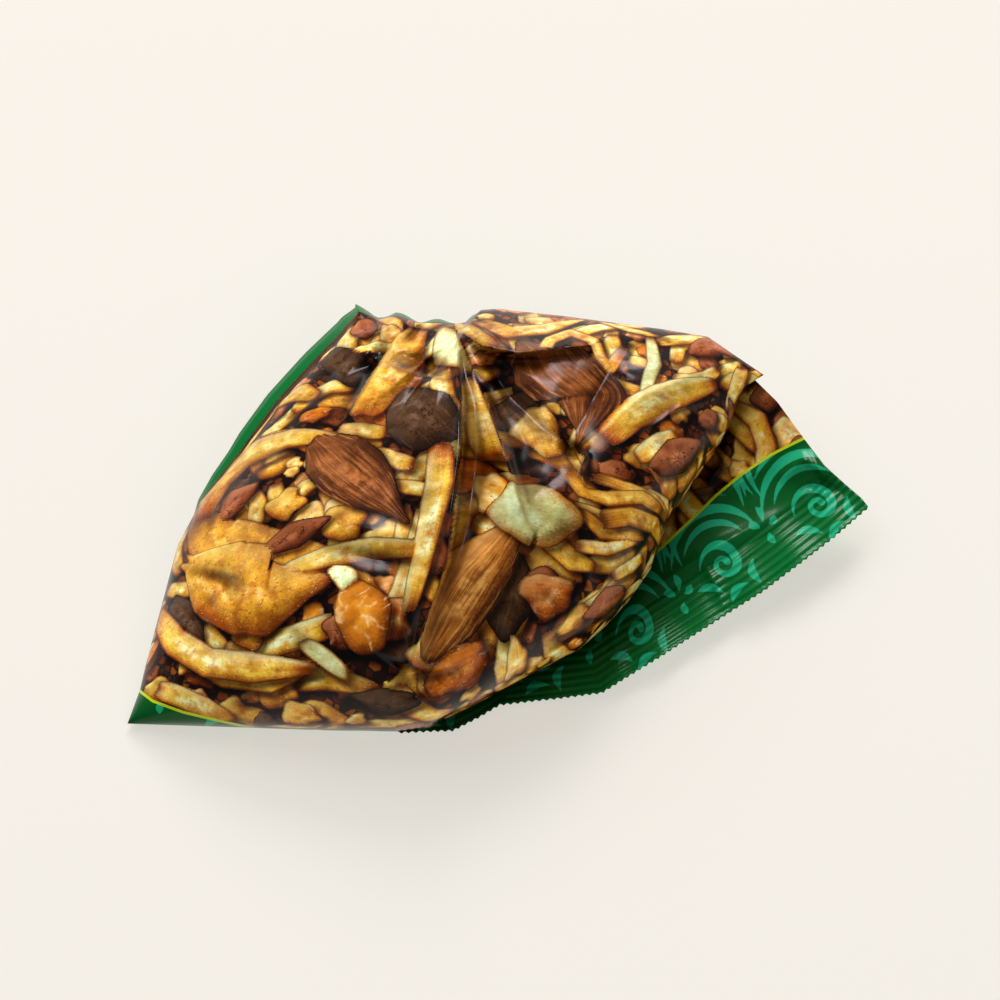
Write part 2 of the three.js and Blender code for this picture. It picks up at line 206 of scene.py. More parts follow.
def snapped(drawn, path):
    """A grid with one point of each row, or column, moved onto a line, so that a crease there is straight."""
    run = np.abs(np.array(path[-1], float) - path[0])
    grid = drawn if run[1] > run[0] else drawn.swapaxes(0, 1)
    distance, is_left, t_along = nearest_on(path, grid[..., 0], grid[..., 1])
    signed = np.where(is_left, distance, -distance)
    here, after = signed[:, :-1], signed[:, 1:]
    beside_line = (t_along[:, :-1] > 0) & (t_along[:, :-1] < 1)
    met = (here * after < 0) & (np.abs(here - after) < snap_reach) & beside_line
    row, k = np.nonzero(met)
    share = here[met] / (here - after)[met]
    crossing = grid[row, k] + share[:, None] * (grid[row, k + 1] - grid[row, k])
    moved = grid.copy()
    moved[row, k + (share > 0.5)] = crossing
    return moved if run[1] > run[0] else moved.swapaxes(0, 1)


grid_place = vertex_places(pouch.data)
s, t = grid_place[:, 0] + 0.5, grid_place[:, 1] + 0.5
# Where a pleat folds over, some film is hidden in it, so the print jumps across the pleat's line
hidden_film = {
    "left pleat": 8, "tongue pleat": 6, "overhang": 7, "panel ridge": 4, "neck lip": 4, "pinch lip": 4,
}
drawn = in_patch(bottom_edge, neck_edge, left_edge, right_edge, s, t)
drawn = drawn.reshape(cells_up + 1, cells_across + 1, 2)
for name in hidden_film:
    drawn = snapped(drawn, creases[name][0])
across, up = drawn.reshape(-1, 2).T
edge_gap = np.minimum.reduce([s, 1 - s, t, 1 - t])
inside = edge_gap > at_edge
smooth_height = edge_height(up) + fill_rise(s, t) * inside

# The film is first laid out flat from the smooth form, so that the print keeps its sizes wherever it lies
set_places(pouch.data, lift(across, up, smooth_height))
bpy.ops.object.mode_set(mode="EDIT")
bpy.ops.mesh.select_all(action="SELECT")
bpy.ops.uv.unwrap(method="CONFORMAL", margin=0)
bpy.ops.object.mode_set(mode="OBJECT")
corner_vertex = np.zeros(len(pouch.data.loops), int)
pouch.data.loops.foreach_get("vertex_index", corner_vertex)
corner_uv = np.zeros(len(pouch.data.loops) * 2)
pouch.data.uv_layers.active.uv.foreach_get("vector", corner_uv)
laid = np.zeros((len(grid_place), 2))
laid[corner_vertex] = corner_uv.reshape(-1, 2)


def turned_onto(flat_film, drawn, places):
    """A flat layout of the film, in millimetres and turned to lie like the drawing plane."""
    flat = flat_film - flat_film.mean(0)
    u, _, v = np.linalg.svd(flat.T @ (drawn - drawn.mean(0)))
    flat = flat @ u @ v
    this, after = np.arange(len(flat) - 1), np.arange(1, len(flat))
    widest_step = 3  # points further apart than this are in two rows
    in_row = np.linalg.norm(drawn[this] - drawn[after], axis=1) < widest_step
    real = np.linalg.norm(places[this] - places[after], axis=1)[in_row].sum() * 1000
    return flat * real / np.linalg.norm(flat[this] - flat[after], axis=1)[in_row].sum() + drawn.mean(0)


film_place = turned_onto(laid, np.stack([across, up], axis=1), vertex_places(pouch.data))

# The print's jump is on a pleat's steep side, and fades away from its line
jump_fade = 16
on_crease = 0.05
for name, amount in hidden_film.items():
    path, _, right, left_reach = creases[name]
    distance, is_left, t_along = nearest_on(path, across, up)
    steep_left = np.mean(left_reach) < np.mean(right)
    run = np.array(path[-1], float) - path[0]
    outward = np.array([-run[1], run[0]]) / np.linalg.norm(run) * (1 if steep_left else -1)
    steep_side = (is_left == steep_left) & (distance > on_crease)
    jump = amount * along([0.3, 1, 1, 0.7, 0], t_along) * np.exp(-distance / jump_fade) * steep_side
    film_place += jump[:, None] * outward

# The front also has the small wrinkles of thin film: short soft creases, most of them running from the neck
wrinkles = np.random.default_rng(11)
wrinkle_count, neck_pleat_count, wave_count = 150, 30, 9
wrinkle_room = 18  # no wrinkle reaches further than this from its middle
near_neck = 35
neck = np.array([-10.0, 103.0])
height = smooth_height.copy()
for crease in creases.values():
    height += crease_rise(crease, across, up) * inside
for _ in range(wrinkle_count):
    middle = np.array([wrinkles.uniform(-90, 66), wrinkles.uniform(6, 102)])
    away = middle - neck
    from_neck = np.linalg.norm(away)
    turn = math.atan2(away[1], away[0]) + wrinkles.normal(0, 0.25 + from_neck / 90)
    half = np.array([math.cos(turn), math.sin(turn)]) * wrinkles.uniform(4, 11)
    bend = np.array([-half[1], half[0]]) * wrinkles.uniform(-0.3, 0.3)
    rise = wrinkles.choice([-1, 1]) * wrinkles.uniform(0.25, 0.8) * (1.3 if from_neck < near_neck else 0.8)
    path = [tuple(middle - half), tuple(middle + bend), tuple(middle + half)]
    crease = (path, [0, rise, 0], wrinkles.uniform(1.5, 4.5), wrinkles.uniform(1.5, 4.5))
    near = (np.abs(across - middle[0]) < wrinkle_room) & (np.abs(up - middle[1]) < wrinkle_room) & inside
    height[near] += crease_rise(crease, across[near], up[near])

# Sharper pleats spread from the gathered neck, each steep on one side
for turn in wrinkles.uniform(-2.9, -0.15, neck_pleat_count):
    way = np.array([math.cos(turn), math.sin(turn)])
    start, end = neck + way * wrinkles.uniform(2, 6), neck + way * wrinkles.uniform(14, 34)
    sides = wrinkles.permutation([wrinkles.uniform(1.1, 1.8), wrinkles.uniform(2.8, 5)])
    path = [tuple(start), tuple((start + end) / 2 + wrinkles.normal(0, 0.8, 2)), tuple(end)]
    crease = (path, [0.3, wrinkles.choice([-0.8, 1.1]), 0], sides[0], sides[1])
    height += crease_rise(crease, across, up) * inside

# Low bent waves crumple the film here and there
wave_rise = 0.018  # a share of the wave's length
wave_bend = 4
for _ in range(wave_count):
    turn, wave_length, phase, fade = wrinkles.uniform((0, 15, 0, 0), (math.pi, 40, 6, 6))
    along_wave = across * math.cos(turn) + up * math.sin(turn)
    along_fade = across * math.cos(turn + 1.3) + up * math.sin(turn + 1.3)
    bent = along_wave + wave_bend * np.sin(along_fade / 17 + phase)
    strength = np.clip(np.sin(along_fade / 19 + fade) + 0.3, 0, 1) * np.clip(edge_gap * 9, 0, 1)
    height += wave_rise * wave_length * np.abs(np.sin(math.pi * bent / wave_length + phase)) * strength


def neighbour_sum(grid):
    """The sum of the four neighbours of each inner point of a grid."""
    return grid[:-2, 1:-1] + grid[2:, 1:-1] + grid[1:-1, :-2] + grid[1:-1, 2:]


softening_passes = 3  # film doesn't crease quite sharply
rows = height.reshape(cells_up + 1, cells_across + 1).copy()
for _ in range(softening_passes):
    rows[1:-1, 1:-1] += (neighbour_sum(rows) - 4 * rows[1:-1, 1:-1]) / 8
height = rows.ravel()
set_places(pouch.data, lift(across, up, height))

# The back: rows of film that turn under the front's edge and end on the flat spot that the pouch lies on. It
# bellies out past that edge along the upper left side and the neck, and is gathered in pleats at the neck.
back_centre = np.array([-12.0, 52.0])
side_roll = [0, 4, 6, 6.2, 6.4, 5.6, 0]
side_roll_start, side_roll_end = 0.45, 1.06  # up the left side, and on along the neck
neck_roll, neck_roll_end = [1.1, 1.3, 1.1, 0], 0.3
roll_growth = 3.2
back_pleat_depth, back_pleat_turns = 0.7, 75
back_pleats_middle, back_pleats_spread = -18, 22
pull_in, pull_in_by_height = 0.05, 0.012  # how much smaller the flat spot is than the front
for name, values in (("rim_s", s), ("rim_t", t)):
    pouch.data.attributes.new(name, "FLOAT", "POINT").data.foreach_set("value", values)
front_count = len(across)
rim_count = 2 * (cells_across + cells_up)
bpy.ops.object.mode_set(mode="EDIT")
bpy.ops.mesh.select_mode(type="EDGE")
bpy.ops.mesh.select_all(action="DESELECT")
bpy.ops.mesh.select_non_manifold()
for _ in range(back_rows):
    bpy.ops.mesh.extrude_edges_move()
bpy.ops.mesh.edge_face_add()
bpy.ops.mesh.select_mode(type="VERT")
bpy.ops.object.mode_set(mode="OBJECT")
total = len(pouch.data.vertices)
rim_s, rim_t = np.zeros(total), np.zeros(total)
pouch.data.attributes["rim_s"].data.foreach_get("value", rim_s)
pouch.data.attributes["rim_t"].data.foreach_get("value", rim_t)
for name in ("rim_s", "rim_t"):
    pouch.data.attributes.remove(pouch.data.attributes[name])
places = vertex_places(pouch.data)
for row in range(back_rows):
    here = slice(front_count + row * rim_count, front_count + (row + 1) * rim_count)
    q = (row + 1) / back_rows
    high = along([1, 0.85, 0.5, 0.18, 0], q)
    under = along([0, 0, 0.2, 0.55, 1], q)
    here_s, here_t = rim_s[here], rim_t[here]
    rim = in_patch(bottom_edge, neck_edge, left_edge, right_edge, here_s, here_t)
    rim_height = edge_height(rim[:, 1])
    on_left, on_neck = here_s < at_edge, here_t > 1 - at_edge
    up_left = np.where(on_left, here_t, np.where(on_neck, 1 + here_s * cells_across / cells_up, 0))
    roll = along(side_roll, (up_left - side_roll_start) / (side_roll_end - side_roll_start))
    roll += on_neck * along(neck_roll, here_s / neck_roll_end)
    roll = roll * min(1, roll_growth * q) * high
    way = rim - back_centre
    gathered = np.exp(-(((rim[:, 0] - back_pleats_middle) / back_pleats_spread) ** 2))
    pleats = back_pleat_depth * np.sin(here_s * back_pleat_turns) * gathered * on_neck * math.sin(math.pi * q)
    drawn_in = under * (pull_in + pull_in_by_height * rim_height)
    scale = 1 - drawn_in + (roll + pleats) / np.linalg.norm(way, axis=1)
    turned = back_centre + way * scale[:, None]
    places[here] = lift(turned[:, 0], turned[:, 1], rim_height * high)
set_places(pouch.data, places)
bpy.ops.object.mode_set(mode="EDIT")
bpy.ops.mesh.select_all(action="SELECT")
bpy.ops.mesh.normals_make_consistent(inside=False)
bpy.ops.object.mode_set(mode="OBJECT")
bpy.ops.object.shade_smooth()
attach(pouch, "root")
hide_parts("bag")

# ---- The picture of the mix --------------------------------------------------------------------------------
# The front is printed with a picture of the mix, larger than life: sticks, crisps, almonds, peanuts and dried
# fruit on a heap of crumbs. It is ink under the gloss of the film, so it has its own painted light and shade.
#
# The picture is five layers of pieces, the last on top. Each point of the film keeps two vectors for each
# layer. The first is its place on the nearest piece: how far along it, how far across it, and how far outside
# its outline. The second is the piece's kind and a random share, half its width, and how far outside its
# painted shade the point is.

kinds = {  # each kind's colour in its middle, around that and at its edge, how blunt it is, and how uneven
    "stick": ("#E8E8A0", "#EBB832", "#B04E04", 6, 0.03),
    "crisp": ("#F4D468", "#EBA220", "#A24606", 3.2, 0.1),
    "almond": ("#B46A34", "#84481C", "#3C1806", 2.2, 0.0),
    "light almond": ("#E2A24C", "#B46A22", "#5A2406", 2.4, 0.02),
    "nut": ("#BC7244", "#92441C", "#4C1C08", 2.3, 0.05),
    "lump": ("#6A4C32", "#4C2E18", "#1E0F07", 2.5, 0.09),
    "amber": ("#F4A430", "#DC7C14", "#8A3C0A", 2.3, 0.05),
    "grain": ("#F8DC78", "#E6A830", "#98500F", 3, 0.14),
    "pale": ("#DCECB8", "#DCDC90", "#AC6A14", 3.0, 0.045),
    "orange": ("#E68A20", "#CA640E", "#742C08", 2.8, 0.12),
    "noodle": ("#F6D05A", "#E6981C", "#98440C", 8, 0.02),
}
kind_names = list(kinds)
layer_count = 5
outside = 9.0  # a distance that is well outside any piece
no_place, no_look = (0, 0, outside), (0.5, 2, outside)
shade_shift = np.array([0.8, -0.9])  # the painted light comes from the upper left

# The pieces that stand out: kind, layer, line through the middle on the drawing plane, and widths along it
placed_pieces = [
    ("stick", 4, [(-15, 73.5), (-15.5, 64), (-17.5, 54), (-20, 43.5), (-23, 31.5)], [7, 7, 6, 5, 3.5]),
    ("almond", 4, [(-48, 75), (-40.5, 69), (-32.5, 62), (-25, 55)], [8, 16, 15.5, 12, 4]),
    ("light almond", 3, [(2.5, 51), (-4, 43), (-11.5, 31.5), (-18, 20.5)], [9, 12, 12.5, 11.5, 7]),
    ("almond", 4, [(6, 99), (15.5, 92.5), (23.5, 86.5), (20.5, 74.5)], [8, 18, 21, 15.5, 3.5]),
    ("pale", 4, [(2, 57), (7.5, 55), (13.5, 53)], [14, 19, 18]),
    ("crisp", 4, [(-79.5, 42.5), (-70, 37.5), (-60, 35), (-50, 38)], [5, 20, 22, 12]),
    ("crisp", 3, [(-78, 54), (-72.5, 47.5), (-62, 44.5), (-44, 43.5)], [10.5, 15.5, 14, 8]),
    ("stick", 4, [(-41.5, 75.5), (-54.5, 74.5), (-65, 70.5), (-72.5, 63), (-76.5, 54)],
     [3.5, 7, 10.5, 11, 9]),
    ("stick", 4, [(-56, 40.5), (-44, 44.5), (-32.5, 47), (-19.5, 46.5)], [4.5, 6, 6, 5]),
    ("stick", 4, [(-89, 30), (-82.5, 22.5), (-74, 17.5), (-62.5, 16.5), (-48, 16.5)], [5.5, 7, 7, 7, 3]),
    ("stick", 3, [(-80.5, 18.5), (-70, 13.5), (-58.5, 12), (-49, 15.5)], [3, 4.5, 4, 2.5]),
    ("pale", 4, [(-49.5, 22.5), (-44, 18.5), (-39, 14.5)], [4.5, 4.5, 4]),
    ("amber", 4, [(-37, 36.5), (-35, 30), (-33.5, 23.5)], [10, 13.5, 12]),
    ("pale", 4, [(-42, 42), (-38, 38.5)], [4.5, 6]),
    ("orange", 3, [(-27, 33), (-26.5, 26)], [5, 8]),
    ("noodle", 4, [(9, 96.5), (13, 100.5), (18.5, 102.5), (24, 100.5), (26, 96), (28, 93), (32, 98)], [3]),
    ("stick", 3, [(14.5, 98), (20.5, 95), (26, 91.5)], [4]),
    ("noodle", 4, [(17, 67), (21.5, 61.5), (27.5, 59.5), (36.5, 59.5), (41.5, 56)], [3.5, 4, 4, 4, 2.5]),
    ("noodle", 3, [(24, 64.5), (31.5, 62.5), (39.5, 59), (42.5, 53.5)], [3.5, 3.5, 3.5, 2.5]),
    ("noodle", 4, [(26, 54), (33.5, 55), (39.5, 52.5), (41, 47.5)], [4, 4, 4, 2.5]),
    ("noodle", 3, [(19.5, 56), (26, 51), (36.5, 50)], [3.5, 4, 3]),
    ("stick", 4, [(27.5, 74.5), (33, 80.5), (41.5, 85.5), (55, 89)], [6, 9, 9, 5.5]),
    ("lump", 4, [(-25, 86), (-21, 81), (-15.5, 75.5)], [9.5, 14.5, 13]),
    ("lump", 2, [(2.5, 43.5), (2.5, 35), (1, 27.5)], [9, 13, 10.5]),
    ("orange", 4, [(7.5, 36), (12, 35), (16.5, 34.5)], [8, 11, 9]),
    ("nut", 4, [(22.5, 30), (27, 32.5), (31.5, 35.5)], [4.5, 8, 5.5]),
    ("nut", 4, [(-59.5, 46.5), (-52, 50), (-45, 54)], [5, 8.5, 5]),
    ("grain", 4, [(9, 82), (11, 76.5), (12.5, 71.5)], [5.5, 9, 7]),
    ("grain", 3, [(4, 22.5), (4, 14.5)], [4.5, 5.5]),
    ("stick", 3, [(-41.5, 76.5), (-36, 77), (-29.5, 76)], [5.5, 6, 5]),
    ("stick", 3, [(-33.5, 71.5), (-27.5, 69.5), (-22.5, 68)], [4.5, 5, 4.5]),
    ("stick", 3, [(-28.5, 62.5), (-22.5, 62), (-16.5, 61)], [4, 4.5, 4]),
    ("crisp", 4, [(-22, 101), (-26, 95), (-30, 88.5), (-33, 82)], [9, 13, 15, 10]),
    ("lump", 3, [(-43, 97.5), (-40, 94), (-37, 90)], [7, 8, 6]),
    ("orange", 3, [(-16, 11.5), (-11, 15.5), (-4.5, 19.5)], [8, 12, 8]),
    ("pale", 3, [(39, 101), (40, 94), (36.5, 85)], [3, 3.5, 3]),
    ("nut", 3, [(49.5, 97.5), (56, 99), (61.5, 97.5)], [5.5, 8.5, 5]),
    ("stick", 3, [(63, 93), (61, 87), (59, 82)], [4.5, 5.5, 3.5]),
    ("nut", 4, [(59.5, 84.5), (60, 78.5), (58, 74)], [4, 6, 3]),
    ("crisp", 3, [(-5.5, 105.5), (2.5, 102.5), (11.5, 103), (21, 105.5)], [4, 6, 5.5, 3.5]),
    ("stick", 3, [(24, 106), (34, 103), (41.5, 101.5)], [3, 3.5, 2.5]),
    ("crisp", 4, [(-3.5, 64.5), (-1, 61), (-3, 57.5)], [5, 8, 5]),
    ("orange", 3, [(-9, 69), (-5.5, 65.5), (-8, 61.5)], [5, 7, 4]),
    ("nut", 3, [(40.5, 67), (46, 70.5), (50.5, 73)], [6, 9, 6]),
    ("stick", 3, [(19.5, 47.5), (27.5, 46.5), (35.5, 49)], [3, 3.5, 2.5]),
    ("stick", 3, [(29, 39.5), (33.5, 42), (36.5, 44.5)], [3, 3.5, 3]),
    ("crisp", 3, [(15.5, 25.5), (19.5, 28.5), (21, 32)], [3.5, 7, 4.5]),
    ("stick", 3, [(-76, 70.5), (-69.5, 79), (-63, 86.5)], [5, 6, 4.5]),
    ("stick", 3, [(-60, 85), (-52, 87), (-47.5, 85.5)], [4, 7.5, 4.5]),
    ("stick", 3, [(-38.5, 97.5), (-31.5, 99), (-26.5, 98)], [3, 4, 3]),
    ("lump", 3, [(-36, 9.5), (-28, 7.5), (-21.5, 8.5)], [4.5, 8, 5]),
    ("nut", 3, [(-70.5, 54), (-67.5, 59), (-63.5, 62)], [5.5, 10.5, 7]),
    ("crisp", 3, [(-38.5, 39.5), (-33.5, 35.5), (-30, 33)], [5, 8, 3.5]),
    ("lump", 3, [(-83.5, 33), (-80, 28), (-76.5, 22.5)], [5, 9, 6]),
    ("orange", 3, [(-91, 15.5), (-89, 20), (-87, 24)], [2.5, 4, 2.5]),
    ("pale", 3, [(-14.5, 103), (-12, 98), (-10, 92)], [4, 6.5, 4]),
    ("orange", 2, [(-37, 84), (-31, 79), (-24, 77)], [6, 9, 6]),
    ("stick", 4, [(-7.5, 90), (-4.5, 80), (-1.5, 70)], [3, 5.5, 6]),
    ("lump", 3, [(6, 86), (5, 80), (9, 75)], [6, 8, 6]),
]


def line_length(points):
    return np.linalg.norm(np.diff(np.array(points, float), axis=0), axis=1).sum()


line_reach = 10  # how far a piece's line is carried on past both its ends
quarter_turn = 1.57


def piece_field(film, spine, widths, kind, turn):
    """Each point's distance along, across and outside a piece of the print, and half the width there."""
    spine = np.array(spine, float)
    length = line_length(spine)
    first, last = spine[0] - spine[1], spine[-1] - spine[-2]
    start = spine[0] + first / np.linalg.norm(first) * line_reach
    end = spine[-1] + last / np.linalg.norm(last) * line_reach
    line = [start, *spine, end]
    best = np.full(len(film), np.inf)
    lengthwise, crosswise = np.zeros(len(film)), np.zeros(len(film))
    gone = -line_reach - length / 2
    for here, after in zip(line, line[1:]):
        step = after - here
        size = np.linalg.norm(step)
        share = np.clip((film - here) @ step / size**2, 0, 1)
        gap = film - here - share[:, None] * step
        distance = np.linalg.norm(gap, axis=1)
        nearer = distance < best
        best = np.where(nearer, distance, best)
        lengthwise = np.where(nearer, gone + share * size, lengthwise)
        side = np.sign(step[0] * gap[:, 1] - step[1] * gap[:, 0])
        crosswise = np.where(nearer, distance * side, crosswise)
        gone += size
    *_, blunt, lobes = kinds[kind]
    half_width = along(np.array(widths) / 2, lengthwise / length + 0.5)
    end_share = 0.5 if blunt < 4 else 0.2  # round pieces end further past their lines than sticks do
    half_length = length / 2 + half_width.mean() * end_share
    way_round = np.arctan2(crosswise / half_width, lengthwise / half_length)
    sharp_waves = [np.arcsin(np.sin(n * way_round + n * turn)) / quarter_turn for n in (3, 5)]
    outline = 1 + lobes * (sharp_waves[0] + 0.7 * sharp_waves[1])
    long_share = (np.abs(lengthwise) / half_length) ** blunt
    wide_share = (np.abs(crosswise) / half_width) ** blunt
    reach = (long_share + wide_share) ** (1 / blunt) / outline
    return lengthwise, crosswise, (reach - 1) * min(half_width.mean(), half_length), half_width


def new_layers(count):
    """Layers of the print with nothing in them yet."""
    return [{"place": np.tile(no_place, (count, 1)), "look": np.tile(no_look, (count, 1))}
            for _ in range(layer_count)]


square_size = 6


def in_squares(film):
    """The film's points sorted into squares, so that those near a place are quick to find."""
    squares = {}
    for i, square in enumerate(map(tuple, np.floor(film / square_size).astype(int))):
        squares.setdefault(square, []).append(i)
    return {square: np.array(points) for square, points in squares.items()}


def points_near(squares, middle, reach):
    """The points in all the squares that a reach round a place touches."""
    (x0, y0), (x1, y1) = (np.floor((middle + way * reach) / square_size).astype(int) for way in (-1, 1))
    found = [squares[x, y] for x in range(x0, x1 + 1) for y in range(y0, y1 + 1) if (x, y) in squares]
    return np.concatenate(found) if found else np.zeros(0, int)


fewest_points = 12
spare_reach = 3  # for the uneven outline and the shade beside it
most_turn = 40


def add_piece(layer, film, squares, kind, spine, widths, random, clear):
    """Adds a piece to a layer of the print, unless it comes nearer than clear to another one there."""
    middle = np.mean(spine, axis=0)
    near = points_near(squares, middle, np.abs(spine - middle).max() + max(widths) / 2 + spare_reach)
    if len(near) < fewest_points:
        return
    turn = random * most_turn
    lengthwise, crosswise, past, half_width = piece_field(film[near], spine, widths, kind, turn)
    if clear and ((past < clear) & (layer["place"][near, 2] < clear)).any():
        return
    past_shade = piece_field(film[near] - shade_shift, spine, widths, kind, turn)[2]
    nearer = past < layer["place"][near, 2]
    at = near[nearer]
    layer["place"][at] = np.stack([lengthwise, crosswise, past], axis=1)[nearer]
    layer["look"][at, 0] = kind_names.index(kind) + 0.05 + 0.9 * random
    layer["look"][at, 1] = half_width[nearer]
    layer["look"][near, 2] = np.minimum(layer["look"][near, 2], past_shade)


fill_plan = [  # for each layer under the top, the largest first: kind, tries, lengths and widths
    [("crisp", 900, (16, 24), (10, 14)), ("orange", 1800, (11, 17), (8, 11)), ("nut", 2500, (8, 12), (6, 8)),
     ("amber", 1500, (6, 10), (4, 7))],
    [("stick", 160, (18, 34), (5, 7)), ("crisp", 500, (14, 22), (9, 13)), ("lump", 200, (9, 14), (7, 10)),
     ("orange", 1500, (9, 16), (7, 10)), ("nut", 1500, (8, 13), (6, 8)), ("crisp", 2000, (6, 10), (4, 7))],
    [("stick", 350, (18, 34), (5, 7)), ("crisp", 600, (12, 20), (8, 12)), ("nut", 500, (10, 14), (7, 9)),
     ("noodle", 250, (16, 28), (3, 4.4)), ("orange", 1200, (9, 15), (7, 10)), ("lump", 150, (9, 13), (7, 9)),
     ("crisp", 800, (7, 11), (5, 7)), ("grain", 600, (5, 8), (4, 6))],
    [("stick", 70, (16, 30), (5, 6.4)), ("crisp", 150, (11, 17), (8, 11)), ("nut", 150, (10, 13), (7, 9)),
     ("pale", 60, (9, 14), (7, 10)), ("noodle", 100, (14, 26), (3, 4)), ("orange", 150, (9, 13), (6, 9))],
]
least_gap = 0.7


def fill_print(layers, film, seed):
    """Fills the layers under the top with a jumble of smaller pieces."""
    rng = np.random.default_rng(seed)
    squares = in_squares(film)
    for layer, passes in zip(layers, fill_plan):
        for kind, tries, lengths, widths in passes:
            for at in rng.integers(len(film), size=tries):
                width = rng.uniform(*widths)
                if layer["place"][at, 2] < width / 2 + least_gap:
                    continue
                turn = rng.uniform(0, 2 * math.pi)
                half = np.array([math.cos(turn), math.sin(turn)])
                half *= max(rng.uniform(*lengths) - width * 0.8, 2) / 2
                bend = np.array([-half[1], half[0]]) * rng.uniform(-0.45, 0.45)
                spine = film[at] + np.array([-half, -half * 0.35 + bend, half * 0.35 + bend, half])
                taper = [width * rng.uniform(0.6, 1), width, width, width * rng.uniform(0.5, 1)]
                add_piece(layer, film, squares, kind, spine, taper, rng.uniform(), least_gap)


def keep_vectors(mesh, name, values, rest=(0, 0, 0)):
    """Keeps a vector for each vertex on the mesh, for its material to read."""
    whole = np.tile(np.array(rest, float), (len(mesh.vertices), 1))
    whole[: len(values)] = values
    mesh.attributes.new(name, "FLOAT_VECTOR", "POINT").data.foreach_set("vector", whole.ravel())


def keep_layers(mesh, layers):
    for number, layer in enumerate(layers):
        keep_vectors(mesh, f"place_{number}", layer["place"], no_place)
        keep_vectors(mesh, f"look_{number}", layer["look"], no_look)


layers = new_layers(front_count)
placing = np.random.default_rng(5)
drawn_place = np.stack([across, up], axis=1)
film_squares = in_squares(film_place)
for kind, number, spine, widths in placed_pieces:
    on_film = film_place[[np.linalg.norm(drawn_place - point, axis=1).argmin() for point in spine]]
    widths = np.array(widths) * (0.5 + 0.5 * line_length(on_film) / line_length(spine))
    add_piece(layers[number], film_place, film_squares, kind, on_film, widths, placing.uniform(), 0)
fill_print(layers, film_place, 21)
keep_layers(pouch.data, layers)
keep_vectors(pouch.data, "film", np.pad(film_place, ((0, 0), (0, 1))))

# The picture ends in a thin yellow line, and past it the film is green, as it is all over the back. At the
# pouch's end, of which the lower left corner shows some too, the green has paler scrollwork. Each point
# keeps how far past the yellow line it is, how much painted shade the folds give it, and how far outside
# the scrollwork it is.
curl_count, curl_gap, first_curl = 5, 30.0, 9
curl_radius, curl_turn = 6.8, 2.9
# Each ring's radius, first and last angle, and width, and each leaf's tip, bulge and width
curl_rings = [(10, 0.35, 2.5, 1.9), (13.6, 0.15, 2.75, 2.5), (17, 0.9, 2.2, 1.5)]
spray = [(-7.5, 26, 0.2, 3), (-1, 31, 0.12, 3.4), (7, 29, -0.16, 3.2), (13, 22, -0.22, 2.6)]
small_leaves = [(-4.5, 3), (0.5, 6), (4, 1.5), (-1, -4.5)]
drop_angles = (-0.4, -1.3, -2.2)


def around(middle, angle, radius):
    return middle + np.array([math.cos(angle), math.sin(angle)]) * radius


def leaf(start, end, bulge, width):
    """A bowed line that is widest in its middle."""
    way = np.subtract(end, start)
    bow = np.array([way[1], -way[0]]) * bulge
    line = [start + way * share + bow * math.sin(math.pi * share) for share in np.linspace(0, 1, 8)]
    return line, [0.2, 0.6 * width, width, 0.7 * width, 0.1]


def scroll_shapes():
    """Lines with widths: ringed curls with drops round them, and sprays of leaves between."""
    shapes = []
    for number in range(curl_count):
        middle = np.array([first_curl + curl_gap * number, first_curl + 2.5 * (number % 2)])
        turns = np.linspace(0, curl_turn * math.pi, 40)
        curl = [around(middle, curl_turn - a, curl_radius * math.exp(-0.19 * a)) for a in turns]
        shapes.append((curl, [0.3, 2.6, 2.2, 1.5, 1.2, 1.9]))
        for radius, start, end, width in curl_rings:
            arc = [around(middle, a, radius + 0.5 * a) for a in np.linspace(start, end, 16)]
            shapes.append((arc, [0.1, 0.8 * width, width, 0.8 * width, 0.2]))
        root = middle + (15.5, 1)
        for x, y, bulge, width in spray + [(x, y, 0.15, 2.2) for x, y in small_leaves]:
            shapes.append(leaf(root + (0.3 * x, 0.3 * y), root + (x, y), bulge, width))
        for angle in drop_angles:
            shapes.append(leaf(around(middle, angle, 7.8), around(middle, angle - 0.7, 10.5), 0.2, 2.4))
    return shapes


scroll_reach = 24


def past_scrolls(u, v):
    """How far outside the scrollwork points are, u along the pouch's end and v in from its cut."""
    past = np.full(len(u), outside)
    for line, widths in scroll_shapes():
        middle = np.mean(line, axis=0)
        near = np.hypot(u - middle[0], v - middle[1]) < scroll_reach
        if near.any():
            distance, _, t = nearest_on(line, u[near], v[near])
            past[near] = np.minimum(past[near], distance - along(widths, t) / 2)
    return past


yellow_line = [(-97, 12.5), (-92, 10.2), (-88.5, 7.8), (-80.5, 5), (-65, 1.3), (-50, -3), (-20, -12)]
distance, is_left, _ = nearest_on(yellow_line, across, up)
past_line = np.where(is_left, -distance, distance)

# Painted shade in the folds: the film is made darker where it lies lower than what is around it, along the
# pleats' lines, in the recess under the overhang and along the bottom. Small ripples get a bit of painted
# shade in their dips and a painted highlight on their tops.
ripple_pass, blur_passes = 30, 90
even = height.reshape(cells_up + 1, cells_across + 1).copy()
for blur in range(blur_passes):
    even[1:-1, 1:-1] = neighbour_sum(even) / 4
    if blur == ripple_pass:
        ripple_painted_light_and_shade = np.clip((even.ravel() - height) / 0.6, -0.22, 0.35) * inside
# The painted shade in the hollows is weaker near the neck
less_painted_shade_at_neck = 1 - 0.4 * np.exp(-np.hypot(across + 12, up - 98) / 25)
# How much painted shade each point gets from lying lower than the film around it
hollow = np.clip((even.ravel() - height - 0.1) / 1.8, 0, 0.6) * less_painted_shade_at_neck
steep_shade_width, gentle_shade_width = 3.2, 0.5
for name in hidden_film:
    path, _, right, left_reach = creases[name]
    distance, is_left, t_along = nearest_on(path, across, up)
    steep_side = is_left == (np.mean(left_reach) < np.mean(right))
    shade_width = np.where(steep_side, steep_shade_width, gentle_shade_width)
    line_shade = np.exp(-((distance / shade_width) ** 2)) * along([0.4, 1, 1, 0.8, 0], t_along)
    hollow = np.maximum(hollow, line_shade * inside)
